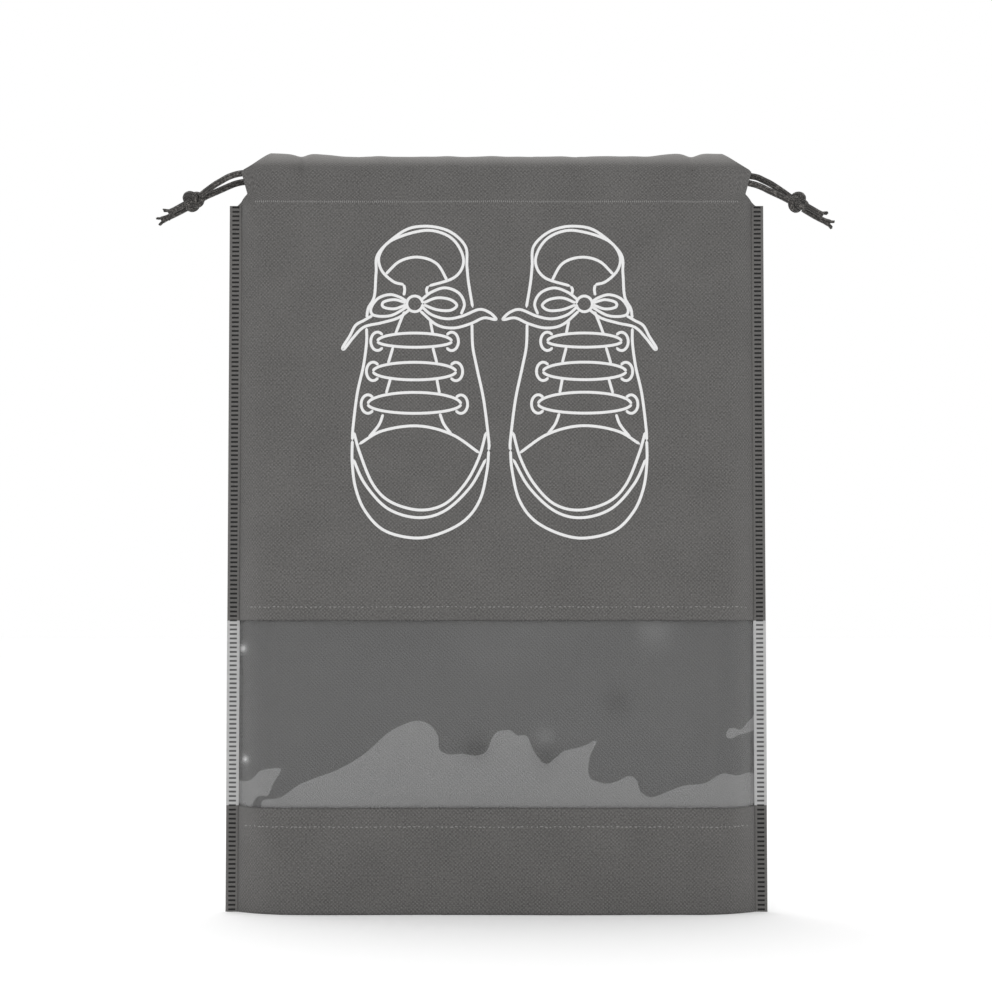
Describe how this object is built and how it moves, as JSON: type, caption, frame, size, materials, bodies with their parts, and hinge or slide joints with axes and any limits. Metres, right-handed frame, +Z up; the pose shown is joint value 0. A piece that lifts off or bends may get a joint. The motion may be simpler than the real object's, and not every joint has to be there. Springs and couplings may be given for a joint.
{
  "type": "shoe bag",
  "caption": "Drawstring shoe bag of felted fabric with a clear window low in the front, a printed front wall, welded side seams and a drawcord out of each side of the mouth.",
  "frame": {"origin": "middle of the base, on the surface that the bag stands on", "axes": "+X across the bag to the right as seen from the printed front, -Y towards the printed front, +Z up to the mouth"},
  "size_m": [0.4035, 0.044, 0.45],
  "materials": {
    "fabric": "matte grey felted fabric with a fine embossed point pattern",
    "film": "thin clear glossy film",
    "side_weld": "pressed dark weld with a ladder of short dashes",
    "weld_line": "fine row of fused points",
    "ink": "matte white screen print",
    "cord": "charcoal braided cord with paler flecks"
  },
  "bodies": {
    "bag": {"back_panel": "fabric", "base_fold": "fabric", "front_lower_band": "fabric", "front_upper_panel": "fabric", "front_cord_channel": "fabric", "back_cord_channel": "fabric", "window_film": "film", "left_side_seam": "side_weld", "right_side_seam": "side_weld", "front_channel_weld": "weld_line", "back_channel_weld": "weld_line", "window_top_weld": "weld_line", "window_bottom_weld": "weld_line", "left_shoe_print": "ink", "right_shoe_print": "ink"},
    "left_cord": {"left_drawcord": "cord", "left_knot": "cord", "left_tails": "cord"},
    "right_cord": {"right_drawcord": "cord", "right_knot": "cord", "right_tails": "cord"}
  },
  "joints": [
    {"name": "left_cord_pull", "type": "slide", "parent": "bag", "child": "left_cord", "axis": [-1, 0, 0], "range_m": [0, 0.08], "deforming": ["front_cord_channel", "back_cord_channel", "front_channel_weld", "back_channel_weld"]},
    {"name": "right_cord_pull", "type": "slide", "parent": "bag", "child": "right_cord", "axis": [1, 0, 0], "range_m": [0, 0.08], "deforming": ["front_cord_channel", "back_cord_channel", "front_channel_weld", "back_channel_weld"]}
  ]
}
